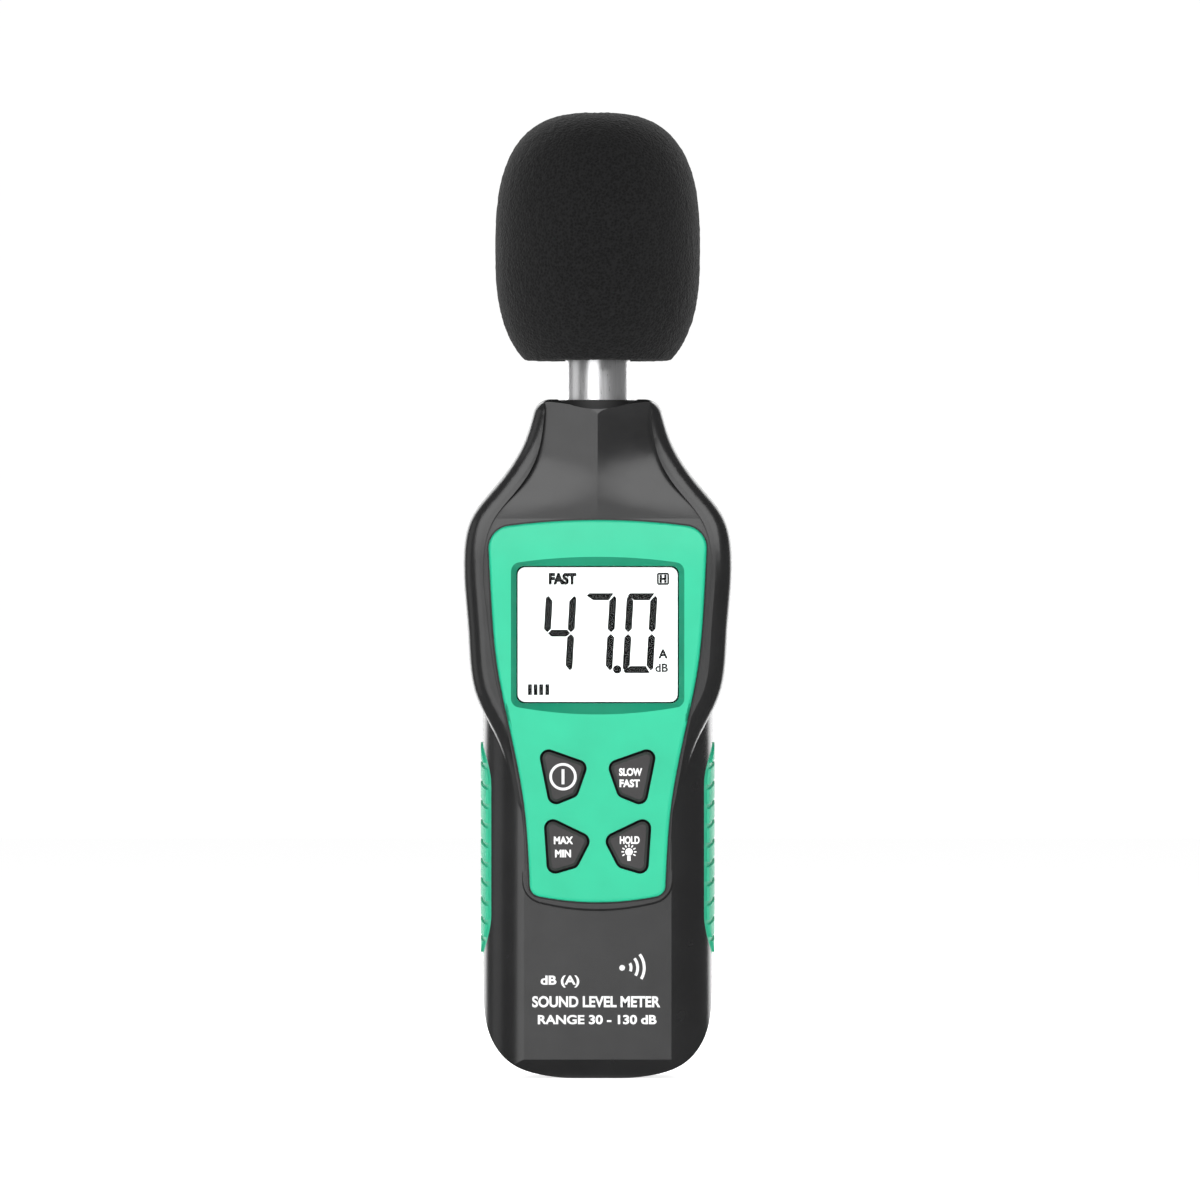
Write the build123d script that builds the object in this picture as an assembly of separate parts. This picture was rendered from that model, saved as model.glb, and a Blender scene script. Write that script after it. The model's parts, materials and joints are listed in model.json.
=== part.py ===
"""Handheld sound level meter, as an assembly of separate pieces. Millimetres.

Frame: +Z runs up the length of the meter towards the microphone, the display faces -Y, and the origin is
under the middle of the case, on the microphone's axis, at the height of the lowest point.
Outlines named (x, z) are drawn from the front, with x > 0 on the right, and mirrored about the centreline.
"""

import os
from math import atan2, cos, radians, sin, sqrt

from build123d import *

# ---- Driving dimensions ----
TOTAL_HEIGHT = 206.0  # bottom of the case to the top of the windscreen
CASE_TOP = 144.4
LOWER_HALF = 24.4  # half width of the hand grip part of the case
LOWER_FRONT = -14.0  # front face below the display surround
RIM_FRONT = -15.0  # front of the rim round the display surround
BACK = 16.0
SHOULDER_RADIUS = 9.8  # curve from the flat front round to the sides
SHOULDER_TILT = 5.0  # degrees by which the shoulders fall away at the edge of the flat front
END_TILT = 15.0  # the same at the crease above the bottom end
SIDE_ROUND = 9.0  # rounding of the two long back edges
END_ROUND = 5.8  # rounding of the bottom end, front and back
BOTTOM_CURVE = 22.0  # height over which the bottom corners curve in
BOTTOM_POWER = 3.2  # superellipse power of the bottom corners
WALL = 2.4
SEAM = 0.1  # each shell stops this far from the parting plane y = 0
LIP_THICK, LIP_DEPTH, LIP_GAP = 0.9, 0.9, 0.1  # lip of the back shell inside the front shell
FLOOR_FRONT = -12.3  # seat of the coloured bezel in the front shell
BEZEL_GAP = 0.35
CAVITY_FRONT = -10.8
CAVITY_BACK = 13.0
LOWER_CAVITY_HALF = 18.9
NECK_CAVITY = 116.0  # above this height the cavity is shallower
CAVITY_TOP = 127.0
NECK_CAVITY_FRONT = -8.8
NECK_CAVITY_BACK = 11.0

# The front and back faces fall back towards the neck along an S curve.
FRONT_FALL, FRONT_FALL_FROM, FRONT_FALL_TO = 3.6, 106.0, 136.0
BACK_FALL, BACK_FALL_FROM, BACK_FALL_TO = 4.2, 114.0, 138.0

# Inside the rim the face is sunk, and a ridge grows up the middle of the neck.
RECESS_DEPTH = 0.95
RIDGE_FROM, RIDGE_FULL, RIDGE_END = 119.0, 134.0, 146.0
RIDGE_FRONT, RIDGE_SLOPE = -11.38, 0.15

# Display
WINDOW_WIDTH, WINDOW_HEIGHT, WINDOW_Z = 34.5, 29.1, 94.35
WINDOW_ROUND = 1.6
LENS_FRONT = -13.5
LENS_WIDTH, LENS_HEIGHT = 38.0, 32.4
VIEW_WIDTH, VIEW_HEIGHT = 34.0, 28.6  # opening in the front shell behind the lens
GLASS_FRONT, GLASS_BACK = -10.6, -8.6
GLASS_WIDTH, GLASS_HEIGHT, GLASS_Z = 40.0, 32.8, 94.7
FRAME_WALL = 1.3

# Board
BOARD_FRONT, BOARD_BACK = -6.5, -4.9

# Keys: sharp corners of the openings on the right, (x, z). The left pair is mirrored.
UPPER_KEY = [(12.9, 71.0), (1.8, 67.1), (4.3, 60.0), (10.2, 57.6)]
LOWER_KEY = [(11.6, 56.4), (1.0, 51.3), (4.3, 44.9), (10.7, 43.0)]
KEY_OPENING_ROUND = 1.9
KEY_GAP = 0.55
KEY_FRONT = -15.8
KEY_TRAVEL = 0.7
KEY_FLANGE = 0.9
PILL_RADIUS = 2.2
CONTACT_THICK = 0.05

# Microphone
TUBE_RADIUS, TUBE_BORE = 6.95, 6.0
TUBE_BOTTOM, TUBE_TOP = 131.5, 181.0
BUSH_RADIUS, BUSH_FLANGE_RADIUS = 8.2, 9.2
BUSH_BOTTOM, BUSH_TOP = 133.0, 144.3
FLANGE_BOTTOM, FLANGE_TOP = 136.5, 138.5
SCREEN_BOTTOM = 152.7
SCREEN_WIDEST_Z = 176.0
SCREEN_RADIUS = 21.9
SCREEN_TOP_POWER, SCREEN_BELLY_POWER, SCREEN_DROP = 2.8, 2.6, 28.5
SCREEN_BORE = 7.0
SCREEN_BORE_TOP = 183.2

# Batteries: three AAA cells side by side, in series
CELL_RADIUS, CELL_BODY, CELL_NUB, NUB_RADIUS = 5.25, 43.5, 1.0, 1.9
CELL_PITCH = 10.9
CELL_Y = 7.8
BAY_HALF, BAY_BOTTOM, BAY_TOP = 16.5, 13.5, 64.0
BAY_WALL = 1.2
BAY_FRONT = 2.4  # inner face of the wall between the cells and the board
PLATE_THICK = 0.4
SPRING_HEIGHT = 5.0
SPRING_RADIUS, SPRING_WIRE = 2.8, 0.3
DOOR_HALF, DOOR_BOTTOM, DOOR_TOP = 18.5, 6.9, 71.8
DOOR_INNER = 14.2
DOOR_GAP = 0.15
DOOR_SCREWS = [(0, 10.0), (0, 68.3)]

# Case fasteners and mount
CASE_SCREWS = [(-19.0, 118.5), (19.0, 118.5), (-15.5, 9.5), (15.5, 9.5)]
BOARD_SCREWS = [(-10.0, 121.5), (10.0, 121.5), (-14.5, 20.0), (14.5, 20.0)]
TRIPOD_Z = 84.0
TRIPOD_BORE = 3.175  # quarter inch camera thread, as a plain bore at its major radius
TRIPOD_DEPTH = 6.5
INSERT_RADIUS = 4.4

# Side grips
GRIP_THICK = 1.2
GRIP_Z, GRIP_LENGTH, GRIP_WIDTH = 48.5, 49.2, 22.0
GRIP_Y = 1.1
RIB_PITCH, RIB_WIDTH, RIB_HEIGHT, RIB_ARC, RIB_COUNT = 4.12, 2.8, 0.5, 27.0, 11
RIB_LOWEST = 28.8


# ---- Drawing helpers ----
def heading(angle):
    """Unit vector at an angle in degrees."""
    return (cos(radians(angle)), sin(radians(angle)))


def arc_end(start, angle, turn, radius):
    """Where an arc ends that leaves start at an angle and turns by turn, in degrees."""
    chord = 2 * radius * sin(radians(abs(turn)) / 2)
    direction = heading(angle + turn / 2)
    return (start[0] + chord * direction[0], start[1] + chord * direction[1])


def bottom_arc(start, angle):
    """Arc that leaves start at an angle between 180 and 270 degrees and is level at the centreline."""
    slope = radians(angle + 180)
    fall = abs(start[0] / sin(slope) * (1 - cos(slope)))
    return TangentArc(start, (0, start[1] - fall), tangent=heading(angle))


def mirrored_face(*right_half):
    """Closed face from the edges of its right half, which starts and ends on the centreline."""
    half = Curve() + list(right_half)
    return make_face(half + mirror(half, Plane.YZ))


def slab(sketch, y_from, y_to):
    """Solid that an (x, z) sketch fills between two depths."""
    return extrude(Plane.XZ.offset(-y_to) * sketch, y_to - y_from)


def across(sketch, x_from, x_to):
    """Solid that a (y, z) sketch fills between two widths."""
    return extrude(Plane.YZ.offset(x_from) * sketch, x_to - x_from)


def block(x_from, x_to, y_from, y_to, z_from, z_to):
    """Box between two corners."""
    size = Box(x_to - x_from, y_to - y_from, z_to - z_from)
    return Pos((x_from + x_to) / 2, (y_from + y_to) / 2, (z_from + z_to) / 2) * size


def rod_y(x, z, radius, y_from, y_to):
    """Cylinder along Y."""
    return slab(Pos(x, z) * Circle(radius), y_from, y_to)


def rod_z(radius, z_from, z_to, x=0.0, y=0.0):
    """Cylinder along Z."""
    return Pos(x, y, z_from) * extrude(Circle(radius), z_to - z_from)


def panel(width, height, z, corner):
    """Rounded rectangle on the centreline, drawn as (x, z)."""
    return Pos(0, z) * RectangleRounded(width, height, corner)


def rounded_polygon(points, corner):
    shape = make_face(Polyline(*points, close=True))
    return fillet(shape.vertices(), corner)


def group(solids):
    """Several separate solids as one node."""
    return Compound(children=[s for shape in solids for s in shape.solids()])


# ---- Outlines, (x, z) ----
def shield_outline():
    """The raised front of the head: neck, shoulders and the tongue that runs down round the keys."""
    top_corner, corner_turn, corner_radius = (10.0, CASE_TOP), -76, 3.8
    neck = arc_end(top_corner, 0, corner_turn, corner_radius)
    low, low_angle, low_turn, low_radius = (16.1, 41.8), -93.5, -72.0, 5.0
    low_end = arc_end(low, low_angle, low_turn, low_radius)
    shoulder = [(15.4, 135.9), (22.0, 125.6), (27.0, 118.8), (28.5, 111.0)]
    tongue = [(27.6, 95.0), (26.0, 81.8), (20.8, 70.6), (17.8, 58.5)]
    return mirrored_face(
        Line((0, CASE_TOP), top_corner),
        TangentArc(top_corner, neck, tangent=heading(0)),
        Spline(neck, *shoulder, *tongue, low, tangents=[heading(corner_turn), heading(low_angle)]),
        TangentArc(low, low_end, tangent=heading(low_angle)),
        bottom_arc(low_end, low_angle + low_turn),
    )


def bezel_outline(grow=0.0):
    """The coloured plate round the display and the keys, or its seat, which is larger all round by grow."""
    top_corner, top_angle, top_turn, top_radius = (19.0, 117.45 + grow), -7.5, -85.5, 4.8 + grow
    side_top = arc_end(top_corner, top_angle, top_turn, top_radius)
    low, low_angle, low_turn, low_radius = (14.4 + grow, 41.0), -92.5, -76.0, 2.4 + grow
    low_end = arc_end(low, low_angle, low_turn, low_radius)
    side = [(x + grow, z) for x, z in ((22.7, 103.5), (21.4, 88.0), (18.4, 73.0), (15.8, 59.5))]
    crown = 118.7 + grow
    return mirrored_face(
        TangentArc((0, crown), top_corner, tangent=heading(0)),
        TangentArc(top_corner, side_top, tangent=heading(top_angle)),
        Spline(side_top, *side, low, tangents=[heading(top_angle + top_turn), heading(low_angle)]),
        TangentArc(low, low_end, tangent=heading(low_angle)),
        bottom_arc(low_end, low_angle + low_turn),
    )


def recess_outline():
    """The sunken face inside the rim, open at the top of the neck."""
    above = CASE_TOP + 2
    low, low_angle, low_turn, low_radius = (15.1, 41.2), -92.5, -76.0, 2.9
    low_end = arc_end(low, low_angle, low_turn, low_radius)
    neck = [(11.6, 138.5), (13.2, 131.5), (17.2, 125.0), (22.3, 118.4)]
    side = [(24.3, 110.5), (23.6, 99.0), (22.1, 87.0), (19.0, 73.0), (16.5, 59.4)]
    return mirrored_face(
        Line((0, above), (11.2, above)),
        Spline((11.2, above), *neck, *side, low, tangents=[heading(-90), heading(low_angle)]),
        TangentArc(low, low_end, tangent=heading(low_angle)),
        bottom_arc(low_end, low_angle + low_turn),
    )


def lower_outline():
    """The hand grip part: straight sides and a bottom whose corners follow a superellipse."""
    half, rise, top = LOWER_HALF, BOTTOM_CURVE, 88.0
    shares = (0.0, 0.35, 0.6, 0.8, 0.92, 0.985)
    corner = [(half * (1 - s**BOTTOM_POWER) ** (1 / BOTTOM_POWER), rise * (1 - s)) for s in shares]
    return mirrored_face(
        Line((0, top), (half, top)),
        Line((half, top), corner[0]),
        Spline(*corner, (0, 0), tangents=[(0, -1), (-1, 0)]),
    )


def cavity_outline(grow=0.0):
    """The hollow inside the case, or its outline grown by grow."""
    top, bottom = CAVITY_TOP + grow, 76.0 - grow
    shoulder = [
        (18.2 + 0.5 * grow, top),
        (20.0 + 0.8 * grow, 124.3 + 0.6 * grow),
        (24.8 + 0.9 * grow, 117.8),
    ]
    side = [(26.1 + grow, 111.0), (25.2 + grow, 95.0), (23.7 + grow, 82.4), (22.5 + grow, bottom)]
    head = mirrored_face(
        Line((0, top), shoulder[0]),
        Spline(*shoulder, *side),
        Line(side[-1], (0, bottom)),
    )
    low, high = WALL - grow, 88.0
    size = (2 * (LOWER_CAVITY_HALF + grow), high - low)
    return head + Pos(0, (low + high) / 2) * RectangleRounded(*size, 8.0 + grow)


# ---- Case ----
def front_limit(shift):
    """Everything behind the rim's front surface moved back by shift."""
    level, third = RIM_FRONT + shift, (FRONT_FALL_TO - FRONT_FALL_FROM) / 3
    neck = level + FRONT_FALL
    fall = Bezier(
        (level, FRONT_FALL_FROM),
        (level, FRONT_FALL_FROM + third),
        (neck, FRONT_FALL_TO - third),
        (neck, FRONT_FALL_TO),
    )
    behind = [(neck, 150), (25, 150), (25, -2), (level, -2)]
    rest = Polyline((neck, FRONT_FALL_TO), *behind, (level, FRONT_FALL_FROM))
    return across(make_face(fall + rest), -40, 40)


def back_limit():
    """Everything in front of the back surface."""
    third = (BACK_FALL_TO - BACK_FALL_FROM) / 3
    neck = BACK - BACK_FALL
    fall = Bezier(
        (BACK, BACK_FALL_FROM),
        (BACK, BACK_FALL_FROM + third),
        (neck, BACK_FALL_TO - third),
        (neck, BACK_FALL_TO),
    )
    ahead = [(neck, 150), (-25, 150), (-25, -2), (BACK, -2)]
    rest = Polyline((neck, BACK_FALL_TO), *ahead, (BACK, BACK_FALL_FROM))
    return across(make_face(fall + rest), -40, 40)


def grip_section(grow=0.0):
    """Cross-section (x, y) of the hand grip part: flat front, curved shoulders and rounded back edges."""
    radius, round_back = SHOULDER_RADIUS + grow, SIDE_ROUND + grow
    front, side, back = LOWER_FRONT - grow, LOWER_HALF + grow, BACK + grow
    centre = (LOWER_HALF - SHOULDER_RADIUS, LOWER_FRONT + SHOULDER_RADIUS * cos(radians(SHOULDER_TILT)))
    crease = centre[0] + sqrt(radius**2 - (centre[1] - front) ** 2)
    half_turn = atan2(front - centre[1], crease - centre[0]) / 2
    middle = (centre[0] + radius * cos(half_turn), centre[1] + radius * sin(half_turn))
    corner = (side - round_back * (1 - cos(radians(45))), back - round_back * (1 - sin(radians(45))))
    return mirrored_face(
        Line((0, front), (crease, front)),
        ThreePointArc((crease, front), middle, (side, centre[1])),
        Line((side, centre[1]), (side, back - round_back)),
        ThreePointArc((side, back - round_back), corner, (side - round_back, back)),
        Line((side - round_back, back), (0, back)),
    )


def end_profile(grow):
    """Side view (y, z) of the hand grip part, with its creased front and rounded back bottom edges."""
    front, back, top = LOWER_FRONT - grow, BACK + grow, 100.0
    tilt = radians(END_TILT)
    crease = (front, END_ROUND * (1 - sin(tilt)) - grow)
    front_foot = (front + END_ROUND * cos(tilt), -grow)
    half_turn = radians((180 + END_TILT + 270) / 2)
    front_middle = (front_foot[0] + END_ROUND * cos(half_turn), END_ROUND - grow + END_ROUND * sin(half_turn))
    back_foot, back_top = (back - END_ROUND, -grow), (back, END_ROUND - grow)
    back_middle = (back - END_ROUND * (1 - cos(radians(45))), END_ROUND * (1 - sin(radians(45))) - grow)
    return make_face(
        Line((front, top), crease)
        + ThreePointArc(crease, front_middle, front_foot)
        + Line(front_foot, back_foot)
        + ThreePointArc(back_foot, back_middle, back_top)
        + Polyline(back_top, (back, top), (front, top))
    )


def lower_body():
    """Hand grip part as a solid. Its three views cross at a shallow angle instead of lying on each other."""
    shallow = 0.02
    front_view = slab(lower_outline(), LOWER_FRONT, BACK)
    long_edges = Pos(0, 0, -1) * extrude(grip_section(shallow), 95)
    return front_view & long_edges & across(end_profile(2 * shallow), -30, 30)


def head_front():
    """Front half of the head, with the rim's outer edge rounded."""
    solid = slab(shield_outline(), -20, -SEAM) & front_limit(0)
    rim_edges = [e for e in solid.edges() if e.bounding_box().max.Y < RIM_FRONT + FRONT_FALL + 0.5]
    return fillet(rim_edges, 3.5)


def head_back():
    """Back half of the head, with its back edge rounded."""
    above_crease = Pos(0, 110) * Rectangle(80, 80)
    solid = slab(shield_outline() & above_crease, SEAM, 20) & back_limit()
    back_edges = [
        e
        for e in solid.edges()
        if e.bounding_box().min.Y > BACK - BACK_FALL - 0.5 and e.center().Z > 71 and abs(e.center().X) > 1
    ]
    return fillet(back_edges, 4.0)


def s_curve(share):
    """Smooth step from 0 to 1."""
    share = min(max(share, 0.0), 1.0)
    return share**2 * (3 - 2 * share)


def ridge_section(z):
    """What lies behind the neck's face at height z, where the sides fall back from the centreline."""
    start_share = s_curve((RIDGE_FROM - FRONT_FALL_FROM) / (FRONT_FALL_TO - FRONT_FALL_FROM))
    start_front = RIM_FRONT + RECESS_DEPTH + FRONT_FALL * start_share
    share = s_curve((z - RIDGE_FROM) / (RIDGE_FULL - RIDGE_FROM))
    half, behind = 26.0, 5.0
    front = start_front + share * (RIDGE_FRONT - start_front)
    side = front + share * RIDGE_SLOPE * half
    outline = Polyline((-half, side), (0, front), (half, side), (half, behind), (-half, behind), close=True)
    return Plane.XY.offset(z) * make_face(outline)


def neck_behind_face():
    """What lies behind the neck's face, which twists from flat into two facets that meet in a ridge."""
    step = (RIDGE_FULL - RIDGE_FROM) / 4
    heights = [RIDGE_FROM + i * step for i in range(5)] + [RIDGE_FULL + step, RIDGE_END]
    return loft([ridge_section(z) for z in heights])


def neck_recess():
    """What is cut from the front inside the rim."""
    plain_face = front_limit(RECESS_DEPTH) & block(-40, 40, -30, 30, -5, RIDGE_FROM)
    return slab(recess_outline(), -20, 0) - plain_face - neck_behind_face()


def rim_foot():
    """Low bead where the rim passes under the bezel. It sinks into the shoulders on both sides."""
    low, high = (-14.8, 34.0), (-13.8, 46.5)
    wedge = across(make_face(Polyline(low, high, (-12.5, 46.5), (-12.5, 34.0), close=True)), -20, 20)
    bead = slab(shield_outline(), -20, -12.5) & wedge
    outer_edges = [e for e in bead.edges() if e.bounding_box().max.Y < -13.7 and e.bounding_box().max.Z < 46]
    return fillet(outer_edges, 0.4)


def scallop():
    """Cylinder across the top of the neck that bares the front and back of the rubber bush."""
    half_chord, sag = 8.6, 2.1
    radius = (half_chord**2 + sag**2) / (2 * sag)
    return rod_y(0, CASE_TOP - sag + radius, radius, -20, 20)


def neck_bore():
    """The seat of the microphone's rubber bush, with the groove for its flange."""
    seat = rod_z(BUSH_RADIUS, CAVITY_TOP - 1, CASE_TOP + 1)
    return seat + rod_z(BUSH_FLANGE_RADIUS, FLANGE_BOTTOM, FLANGE_TOP)


def neck_part(sketch):
    return sketch & (Pos(0, NECK_CAVITY + 20) * Rectangle(80, 40))


def below_neck(sketch):
    return sketch & (Pos(0, NECK_CAVITY - 100) * Rectangle(80, 200))


def key_openings(margin=0.0):
    """The four openings for the keys, as one sketch."""
    right = Sketch() + [rounded_polygon(k, KEY_OPENING_ROUND) for k in (UPPER_KEY, LOWER_KEY)]
    grown = offset(right, margin) if margin else right
    return grown + mirror(grown, Plane.YZ)


def front_shell(grips):
    hollow = cavity_outline()
    shell = head_front() + (lower_body() & block(-40, 40, -30, -SEAM, -5, 100)) + rim_foot()
    shell -= slab(below_neck(hollow), CAVITY_FRONT, 0) + slab(neck_part(hollow), NECK_CAVITY_FRONT, 0)
    shell += [rod_y(x, z, 3.2, CAVITY_FRONT - 0.5, -SEAM) for x, z in CASE_SCREWS]
    shell += [rod_y(x, z, 2.4, CAVITY_FRONT - 0.1, BOARD_FRONT) for x, z in BOARD_SCREWS]
    shell -= slab(cavity_outline(LIP_THICK + LIP_GAP), -LIP_DEPTH - LIP_GAP, 0)
    shell -= neck_recess()
    shell -= slab(bezel_outline(BEZEL_GAP), -20, FLOOR_FRONT)
    shell -= slab(panel(VIEW_WIDTH, VIEW_HEIGHT, WINDOW_Z, WINDOW_ROUND) + key_openings(), -20, 0)
    shell -= [rod_y(x, z, 1.4, -9.0, 0) for x, z in CASE_SCREWS]
    shell -= [rod_y(x, z, 0.9, -10.2, 0) for x, z in BOARD_SCREWS]
    return shell - neck_bore() - scallop() - grips


def battery_box():
    """Block round the cells, standing on the back of the case, before the bay is hollowed out."""
    half, bottom, top = BAY_HALF + BAY_WALL, BAY_BOTTOM - BAY_WALL, BAY_TOP + BAY_WALL
    return block(-half, half, BAY_FRONT - 1.4, CAVITY_BACK, bottom, top)


def rear_shell(grips, terminals):
    hollow = cavity_outline()
    shell = head_back() + (lower_body() & block(-40, 40, SEAM, 30, -5, 100))
    shell -= slab(below_neck(hollow), 0, CAVITY_BACK) + slab(neck_part(hollow), 0, NECK_CAVITY_BACK)
    shell += slab(cavity_outline(LIP_THICK) - hollow, -LIP_DEPTH, 0.5)
    shell += battery_box()
    shell += [rod_y(x, z, 3.8, -LIP_DEPTH, NECK_CAVITY_BACK + 0.5) for x, z in CASE_SCREWS]
    shell += [rod_y(x, z, 2.6, 5.0, DOOR_INNER) for x, z in DOOR_SCREWS]
    shell += rod_y(0, TRIPOD_Z, 6.2, 7.4, CAVITY_BACK)
    shell -= block(-BAY_HALF, BAY_HALF, BAY_FRONT, 20, BAY_BOTTOM, BAY_TOP)
    door_height, door_middle = DOOR_TOP - DOOR_BOTTOM, (DOOR_TOP + DOOR_BOTTOM) / 2
    door_seat = panel(2 * (DOOR_HALF + DOOR_GAP), door_height + 2 * DOOR_GAP, door_middle, 3.0 + DOOR_GAP)
    shell -= slab(door_seat, DOOR_INNER, 20)
    shell -= [rod_y(x, z, 3.0, 8.0, 20) + rod_y(x, z, 1.6, -1, 9) for x, z in CASE_SCREWS]
    shell -= [rod_y(x, z, 1.15, 7.5, 20) for x, z in DOOR_SCREWS]
    shell -= rod_y(0, TRIPOD_Z, INSERT_RADIUS, BACK - TRIPOD_DEPTH - 1.0, 20)
    shell -= slab(panel(34, 16, 102, 1.5), BACK - 0.3, 20)
    return shell - neck_bore() - scallop() - grips - terminals


def side_grip():
    """Right-hand rubber grip: a slot-shaped patch that wraps round the side, with arched ribs."""
    patch = Pos(GRIP_Y, GRIP_Z) * SlotOverall(GRIP_LENGTH, GRIP_WIDTH, 90)
    layer = extrude(grip_section(1.0) - grip_section(-GRIP_THICK), 95)
    base = across(patch, 10, 30) & layer & lower_body()
    centres = [RIB_LOWEST + i * RIB_PITCH - RIB_ARC for i in range(RIB_COUNT)]
    ring = Circle(RIB_ARC + RIB_WIDTH / 2) - Circle(RIB_ARC - RIB_WIDTH / 2)
    upper = Pos(0, RIB_ARC) * Rectangle(3 * RIB_ARC, 2 * RIB_ARC)
    ribs = Sketch() + [Pos(GRIP_Y, z) * (ring & upper) for z in centres]
    inner_patch = Pos(GRIP_Y, GRIP_Z) * SlotOverall(GRIP_LENGTH - 2, GRIP_WIDTH - 2, 90)
    raised = extrude(grip_section(RIB_HEIGHT) - grip_section(-0.4), 95)
    return base + (across(ribs & inner_patch, 10, 30) & raised)


# ---- Bezel, window and display ----
def barrel_outline():
    """Mouth of the window recess, with bowed top and bottom edges."""
    right, top, bottom, bow = 18.4, 109.5, 79.2, 1.8
    shape = make_face(
        Line((right, bottom), (right, top))
        + ThreePointArc((right, top), (0, top + bow), (-right, top))
        + Line((-right, top), (-right, bottom))
        + ThreePointArc((-right, bottom), (0, bottom - bow), (right, bottom))
    )
    return fillet(shape.vertices(), 1.9)


def window_cut():
    mouth, pane = barrel_outline(), panel(WINDOW_WIDTH, WINDOW_HEIGHT, WINDOW_Z, WINDOW_ROUND)
    face_level = RIM_FRONT + 0.1
    funnel = loft([Plane.XZ.offset(-LENS_FRONT) * pane, Plane.XZ.offset(-face_level) * mouth], ruled=True)
    return funnel + slab(mouth, -20, face_level) + slab(pane, LENS_FRONT - 0.1, LENS_FRONT + 0.5)


def front_bezel():
    plate = slab(bezel_outline(), -20, FLOOR_FRONT) & front_limit(0.1)
    edges = [e for e in plate.edges() if e.bounding_box().max.Y < FLOOR_FRONT - 0.3]
    plate = fillet(edges, 0.7)
    plate -= window_cut()
    plate -= slab(panel(LENS_WIDTH + 0.1, LENS_HEIGHT + 0.1, WINDOW_Z, 2.0), LENS_FRONT, 0)
    return plate - slab(key_openings(), -20, 0)


def lcd_window():
    return slab(panel(LENS_WIDTH, LENS_HEIGHT, WINDOW_Z, 2.0), LENS_FRONT, FLOOR_FRONT)


def lcd_gasket():
    opening = panel(VIEW_WIDTH, VIEW_HEIGHT, WINDOW_Z, WINDOW_ROUND)
    return slab(panel(GLASS_WIDTH, GLASS_HEIGHT, GLASS_Z, 0.5) - opening, CAVITY_FRONT, GLASS_FRONT)


def lcd_glass():
    return slab(panel(GLASS_WIDTH, GLASS_HEIGHT, GLASS_Z, 0.3), GLASS_FRONT, GLASS_BACK)


def lcd_frame():
    inner = panel(GLASS_WIDTH + 0.2, GLASS_HEIGHT + 0.2, GLASS_Z, 0.4)
    outer = panel(GLASS_WIDTH + 2 * FRAME_WALL, GLASS_HEIGHT + 2 * FRAME_WALL, GLASS_Z, 1.2)
    return slab(outer - inner, GLASS_FRONT, BOARD_FRONT)


def zebra_strips():
    half_height = GLASS_HEIGHT / 2
    ends = (GLASS_Z - half_height + 0.3, GLASS_Z + half_height - 2.1)
    return group([block(-18, 18, GLASS_BACK, BOARD_FRONT, z, z + 1.8) for z in ends])


def backlight_panel():
    return slab(panel(37.0, 27.6, GLASS_Z, 0.5), GLASS_BACK + 0.1, BOARD_FRONT)


def backlight_led():
    return block(18.6, 19.9, -8.3, BOARD_FRONT, GLASS_Z - 1.6, GLASS_Z + 1.6)


# ---- Keys ----
def key_face(corners, inset):
    return offset(rounded_polygon(corners, KEY_OPENING_ROUND), -inset)


def key_cap(corners, side):
    """One rubber key: cap, flange behind the shell and the post that carries the contact pill."""
    face = key_face(corners, KEY_GAP)
    cap = slab(face, KEY_FRONT, CAVITY_FRONT + 0.1)
    rim = cap.edges().filter_by(lambda e: e.bounding_box().max.Y < KEY_FRONT + 0.1)
    cap = chamfer(rim, 0.55)
    cap += slab(offset(face, KEY_FLANGE), CAVITY_FRONT + 0.1, CAVITY_FRONT + 0.9)
    cap += slab(offset(face, -1.2), CAVITY_FRONT + 0.9, pill_front())
    return mirror(cap, Plane.YZ) if side < 0 else cap


def pill_front():
    return BOARD_FRONT - CONTACT_THICK - 0.1 - KEY_TRAVEL - 0.5


def key_middle(corners, side):
    """Where the contact pill sits, (x, z)."""
    middle = key_face(corners, KEY_GAP).center()
    return (side * middle.X, middle.Y)


def key_pill(corners, side):
    x, z = key_middle(corners, side)
    return rod_y(x, z, PILL_RADIUS, pill_front(), pill_front() + 0.5)


def keypad_sheet():
    """Rubber sheet that carries the keys, with the flexing webs left out as a narrow gap."""
    sheet = panel(27.6, 31.0, 56.6, 2.0)
    return slab(sheet - key_openings(KEY_FLANGE - KEY_GAP + 0.25), CAVITY_FRONT, CAVITY_FRONT + 1.0)


def key_contacts():
    """Two half-moon pads on the board under each key."""
    pads = []
    for corners in (UPPER_KEY, LOWER_KEY):
        for side in (-1, 1):
            x, z = key_middle(corners, side)
            disc = rod_y(x, z, 2.4, BOARD_FRONT - CONTACT_THICK, BOARD_FRONT)
            pads.append(disc - block(x - 0.2, x + 0.2, -10, 0, z - 3, z + 3))
    return group(pads)


# ---- Microphone ----
def mic_tube():
    return rod_z(TUBE_RADIUS, TUBE_BOTTOM, TUBE_TOP) - rod_z(TUBE_BORE, TUBE_BOTTOM - 1, TUBE_TOP + 1)


def mic_bush():
    body = rod_z(BUSH_RADIUS, BUSH_BOTTOM, BUSH_TOP) + rod_z(BUSH_FLANGE_RADIUS, FLANGE_BOTTOM, FLANGE_TOP)
    return body - rod_z(TUBE_RADIUS, BUSH_BOTTOM - 1, BUSH_TOP + 1)


def mic_capsule():
    return rod_z(TUBE_BORE - 0.05, TUBE_TOP - 9.0, TUBE_TOP - 0.6)


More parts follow.
